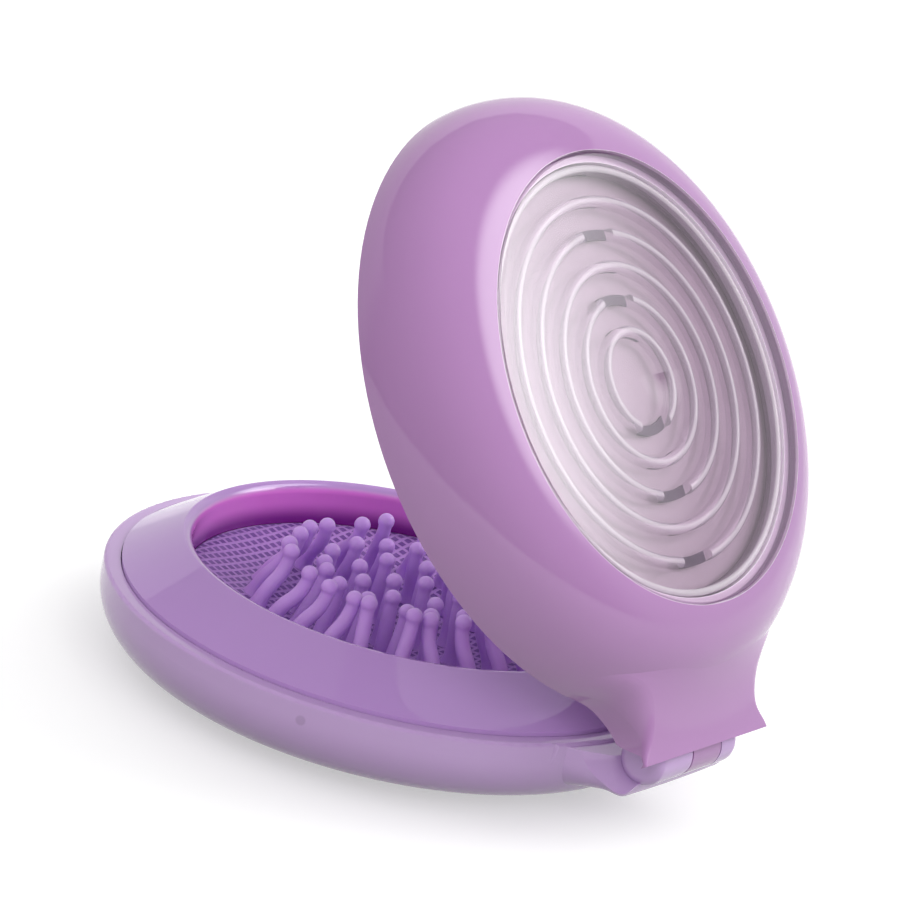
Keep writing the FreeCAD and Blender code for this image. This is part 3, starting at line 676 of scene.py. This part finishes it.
for ring in ("outer", "middle"):
    for k in range(SECTORS):
        body = f"{ring}_{k + 1}"
        angle = SECTOR_TURN + 2 * math.pi * k / SECTORS
        group = bristle_group(f"soft_bristles_{body}", RINGS[ring], angle, body, bristle_rubber)
        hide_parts(f"bristles_{body}")
for ring, turn in (("inner", SECTOR_TURN), ("centre", CENTRE_TURN)):
    angle = turn + RINGS[ring].pitch * (RINGS[ring].count - 1) / 2
    group = bristle_group(f"soft_bristles_{ring}", RINGS[ring], angle, "button", bristle_rubber)
    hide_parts(f"bristles_{ring}")


# Floor, light and camera


def make_floor():
    s = new_shader("studio_floor")
    path = s.node("LightPath").outputs
    seen = s.maths("ADD", path["Is Camera Ray"], path["Is Glossy Ray"])
    seen = s.maths("ADD", seen, path["Is Transmission Ray"], clamp=True)
    matt = s.node("BsdfDiffuse", {"Color": s.blend(seen, FLOOR_BOUNCE, FLOOR_SEEN)}).outputs[0]
    glow = s.node("Emission", {"Color": WHITE, "Strength": s.product(seen, FLOOR_GLOW)}).outputs[0]
    material = s.finish(s.node("AddShader", {0: matt, 1: glow}).outputs[0])
    half = FLOOR_HALF
    corners = [(-half, -half, 0), (half, -half, 0), (half, half, 0), (-half, half, 0)]
    floor = new_piece("floor", corners, [(0, 1, 2, 3)], material)
    floor.location.z = -FLOOR_DROP


def way_to(azimuth, elevation):
    """A unit vector in a direction given in degrees."""
    flat = math.cos(math.radians(elevation))
    side = math.radians(azimuth)
    return Vector((flat * math.cos(side), flat * math.sin(side), math.sin(math.radians(elevation))))


def make_world():
    """What gloss mirrors: a white sweep behind the object up to its top edge, a softbox, and a dimmer
    room round the rest. Matt surfaces get an even light from all round."""
    world = bpy.data.worlds.new("studio")
    bpy.context.scene.world = world
    s = Shader(world, "OutputWorld")
    direction = s.node("TexCoord").outputs["Generated"]

    def along(azimuth, elevation):
        """Cosine of the angle between a ray and a direction in degrees."""
        inputs = {0: direction, 1: way_to(azimuth, elevation)}
        return s.node("VectorMath", inputs, operation="DOT_PRODUCT").outputs["Value"]

    def patch(azimuth, elevation, outer, inner):
        """1 within the inner angle of a direction, fading to 0 at the outer one."""
        cosines = [math.cos(math.radians(angle)) for angle in (outer, inner)]
        return s.ramp(along(azimuth, elevation), *cosines)

    below_edge = s.ramp(s.axes(direction)[2], *SWEEP_EDGE)
    sweep = s.product(s.ramp(along(SWEEP_AZIMUTH, 0), *SWEEP_SIDE), below_edge)
    room = s.total(
        ROOM_LIGHT,
        (sweep, SWEEP_LIGHT),
        (patch(azimuth=-42, elevation=42, outer=26, inner=12), SOFTBOX_LIGHT),
        (patch(azimuth=-41, elevation=31, outer=13, inner=4), SOFTBOX_LOW_LIGHT),
    )
    path = s.node("LightPath").outputs
    plain = s.maths("ADD", path["Is Camera Ray"], path["Is Transmission Ray"], clamp=True)
    strength = s.between(plain, s.between(path["Is Diffuse Ray"], room, MATT_LIGHT), 1.0)
    s.finish(s.node("Background", {"Color": WHITE, "Strength": strength}).outputs[0])


def make_lamp(name, distance, azimuth, elevation, size, power):
    """A square lamp that faces the object from that direction, in degrees. Gloss mirrors the softbox
    of the world instead of it."""
    way = way_to(azimuth, elevation)
    data = bpy.data.lights.new(name, "AREA")
    data.shape = "SQUARE"
    data.size = size
    data.energy = power
    lamp = bpy.data.objects.new(name, data)
    lamp.location = LAMP_TARGET + way * distance
    lamp.rotation_euler = (-way).to_track_quat("-Z", "Y").to_euler()
    lamp.visible_glossy = False
    bpy.context.scene.collection.objects.link(lamp)


def make_camera():
    level = way_to(CAMERA_AZIMUTH, 0)
    back = way_to(CAMERA_AZIMUTH - 90, CAMERA_ELEVATION)
    up = back.cross(level)
    across = level * math.cos(CAMERA_ROLL) - up * math.sin(CAMERA_ROLL)
    upright = level * math.sin(CAMERA_ROLL) + up * math.cos(CAMERA_ROLL)
    turn = Matrix((across, upright, back)).transposed().to_4x4()
    turn.translation = CAMERA_PLACE
    data = bpy.data.cameras.new("view")
    data.sensor_width = CAMERA_SENSOR
    data.lens = CAMERA_LENS
    camera = bpy.data.objects.new("view", data)
    camera.matrix_world = turn
    bpy.context.scene.collection.objects.link(camera)
    bpy.context.scene.camera = camera


make_floor()
make_world()
make_lamp("softbox", distance=0.95, azimuth=-30, elevation=60, size=0.8, power=1.9)
make_lamp("fill", distance=1.2, azimuth=165, elevation=38, size=0.9, power=1.2)
make_lamp("front", distance=1.1, azimuth=-132, elevation=22, size=0.9, power=3.8)
make_camera()
bpy.context.scene.view_settings.view_transform = "Standard"
